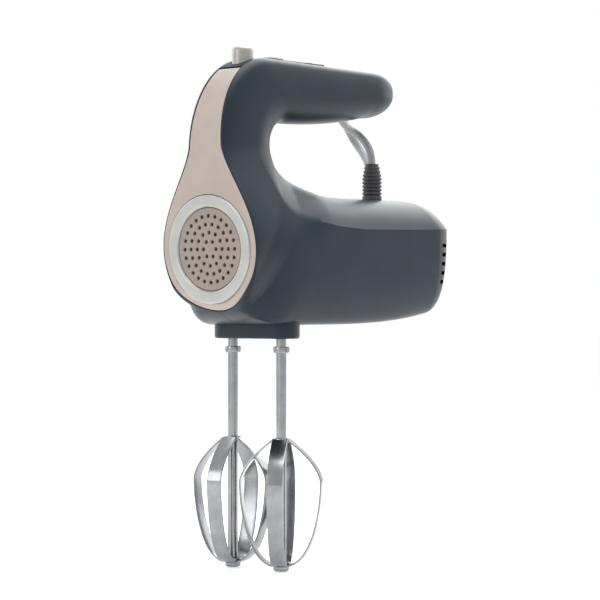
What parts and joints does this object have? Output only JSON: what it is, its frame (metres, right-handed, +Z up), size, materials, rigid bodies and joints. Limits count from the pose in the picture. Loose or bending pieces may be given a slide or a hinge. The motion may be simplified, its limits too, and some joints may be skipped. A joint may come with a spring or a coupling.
{
  "type": "hand mixer",
  "caption": "Electric hand mixer with an open C-shaped handle, keyhole front panel with a round grille, strip beaters driven by a worm, ejector button, speed slider and coiled cord",
  "frame": {"origin": "centre of the hand grip, midway along and through the handle, on the centre plane", "axes": "+Z up, opposite to the beaters; -Y towards the front panel; +X to the mixer's left side"},
  "size_m": [0.1037, 0.2077, 0.325],
  "materials": {
    "slate_plastic": "satin moulded ABS",
    "champagne_plastic": "satin champagne moulding",
    "grille_plastic": "satin greige moulding",
    "silver_plastic": "silver-grey moulding",
    "chrome_steel": "chromed steel",
    "rubber_dark": "moulded rubber",
    "cord_grey": "soft PVC sheath",
    "dark_plastic": "moulded nylon",
    "plug_brass": "turned brass",
    "white_plastic": "moulded acetal",
    "board": "coated glass-epoxy board",
    "frame_metal": "die-cast alloy",
    "core_steel": "stacked laminations",
    "copper": "enamelled copper",
    "carbon": "pressed carbon",
    "steel": "turned steel"
  },
  "bodies": {
    "housing": {"left_shell": "slate_plastic", "right_shell": "slate_plastic", "rear_cover": "slate_plastic", "nose_collar": "slate_plastic", "control_bezel": "slate_plastic", "front_fascia": "champagne_plastic", "front_grille": "grille_plastic", "grille_ring": "silver_plastic", "heel_pad": "rubber_dark", "strain_relief": "rubber_dark", "cord_lead": "cord_grey", "cord_coil": "cord_grey", "plug_body": "dark_plastic", "coil_tie": "dark_plastic", "cord_clamp": "dark_plastic", "brush_holders": "dark_plastic", "speed_switch": "dark_plastic", "turbo_switch": "dark_plastic", "plug_pins": "plug_brass", "front_bearing": "plug_brass", "rear_bearing": "plug_brass", "control_board": "board", "gear_frame": "frame_metal", "rear_bracket": "frame_metal", "field_core": "core_steel", "field_coils": "copper", "carbon_brushes": "carbon", "motor_screws": "steel", "housing_screws": "steel", "eject_spring": "steel", "turbo_spring": "steel"},
    "eject": {"eject_button": "silver_plastic", "eject_rod": "white_plastic", "eject_fork": "white_plastic"},
    "armature": {"motor_shaft": "steel", "armature_core": "core_steel", "armature_windings": "copper", "commutator": "copper", "worm": "steel", "cooling_fan": "white_plastic"},
    "speed": {"speed_slider": "silver_plastic"},
    "turbo": {"turbo_button": "silver_plastic"},
    "left_drive": {"left_gear": "white_plastic", "left_spindle": "steel"},
    "right_drive": {"right_gear": "white_plastic", "right_spindle": "steel"},
    "left_beater": {"left_beater_shaft": "chrome_steel", "left_beater_collar": "chrome_steel", "left_beater_blades": "chrome_steel", "left_beater_cap": "chrome_steel"},
    "right_beater": {"right_beater_shaft": "chrome_steel", "right_beater_collar": "chrome_steel", "right_beater_blades": "chrome_steel", "right_beater_cap": "chrome_steel"}
  },
  "joints": [
    {"name": "armature_spin", "type": "hinge", "parent": "housing", "child": "armature", "pos_m": [0, -0.065, -0.107], "axis": [0, 1, 0], "continuous": true},
    {"name": "left_drive_spin", "type": "hinge", "parent": "housing", "child": "left_drive", "pos_m": [0.02, -0.065, -0.107], "axis": [0, 0, 1], "continuous": true},
    {"name": "right_drive_spin", "type": "hinge", "parent": "housing", "child": "right_drive", "pos_m": [-0.02, -0.065, -0.107], "axis": [0, 0, 1], "continuous": true},
    {"name": "eject_press", "type": "slide", "parent": "housing", "child": "eject", "axis": [0, 0, -1], "range_m": [0, 0.009], "stiffness_N_per_m": 600, "springref_m": -0.002, "deforming": ["eject_spring"]},
    {"name": "left_beater_eject", "type": "slide", "parent": "left_drive", "child": "left_beater", "axis": [0, 0, -1], "range_m": [0, 0.009]},
    {"name": "right_beater_eject", "type": "slide", "parent": "right_drive", "child": "right_beater", "axis": [0, 0, -1], "range_m": [0, 0.009]},
    {"name": "speed_slide", "type": "slide", "parent": "housing", "child": "speed", "axis": [0, 1, 0], "range_m": [0, 0.014]},
    {"name": "turbo_press", "type": "slide", "parent": "housing", "child": "turbo", "axis": [0, 0, -1], "range_m": [0, 0.0025], "stiffness_N_per_m": 800, "springref_m": -0.001, "deforming": ["turbo_spring"]}
  ],
  "couplings": [
    {"joint": "left_drive_spin", "follows": "armature_spin", "ratio": 0.034483},
    {"joint": "right_drive_spin", "follows": "armature_spin", "ratio": -0.034483},
    {"joint": "left_beater_eject", "follows": "eject_press", "ratio": 1},
    {"joint": "right_beater_eject", "follows": "eject_press", "ratio": 1}
  ]
}
